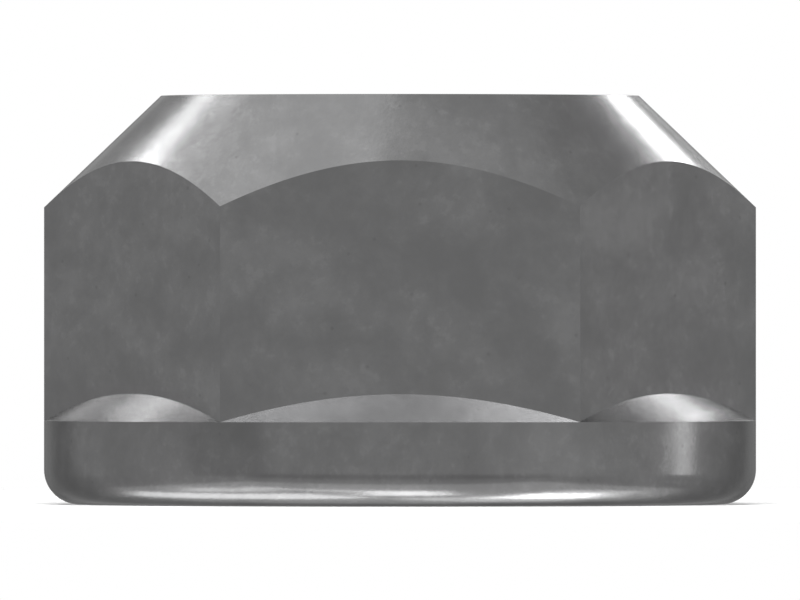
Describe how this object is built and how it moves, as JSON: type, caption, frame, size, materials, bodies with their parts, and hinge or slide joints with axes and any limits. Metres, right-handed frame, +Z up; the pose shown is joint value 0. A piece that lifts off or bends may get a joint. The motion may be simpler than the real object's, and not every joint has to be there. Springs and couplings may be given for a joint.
{
  "type": "taper lock nut",
  "caption": "Steel hexagon lock nut with a conical tapered top, a round collar as wide as the hexagon corners, and a threaded bore.",
  "frame": {"origin": "centre of the flat bearing face under the collar, on the thread's axis", "axes": "+Z up the thread's axis from the bearing face to the tapered top; two opposite corners of the hexagon point along +X and -X, and two opposite flats face +Y and -Y"},
  "size_m": [0.0278, 0.0278, 0.0159],
  "materials": {
    "steel": "dark satin steel with a faint mottled scale"
  },
  "bodies": {
    "root": {"lock_nut": "steel"}
  },
  "joints": []
}
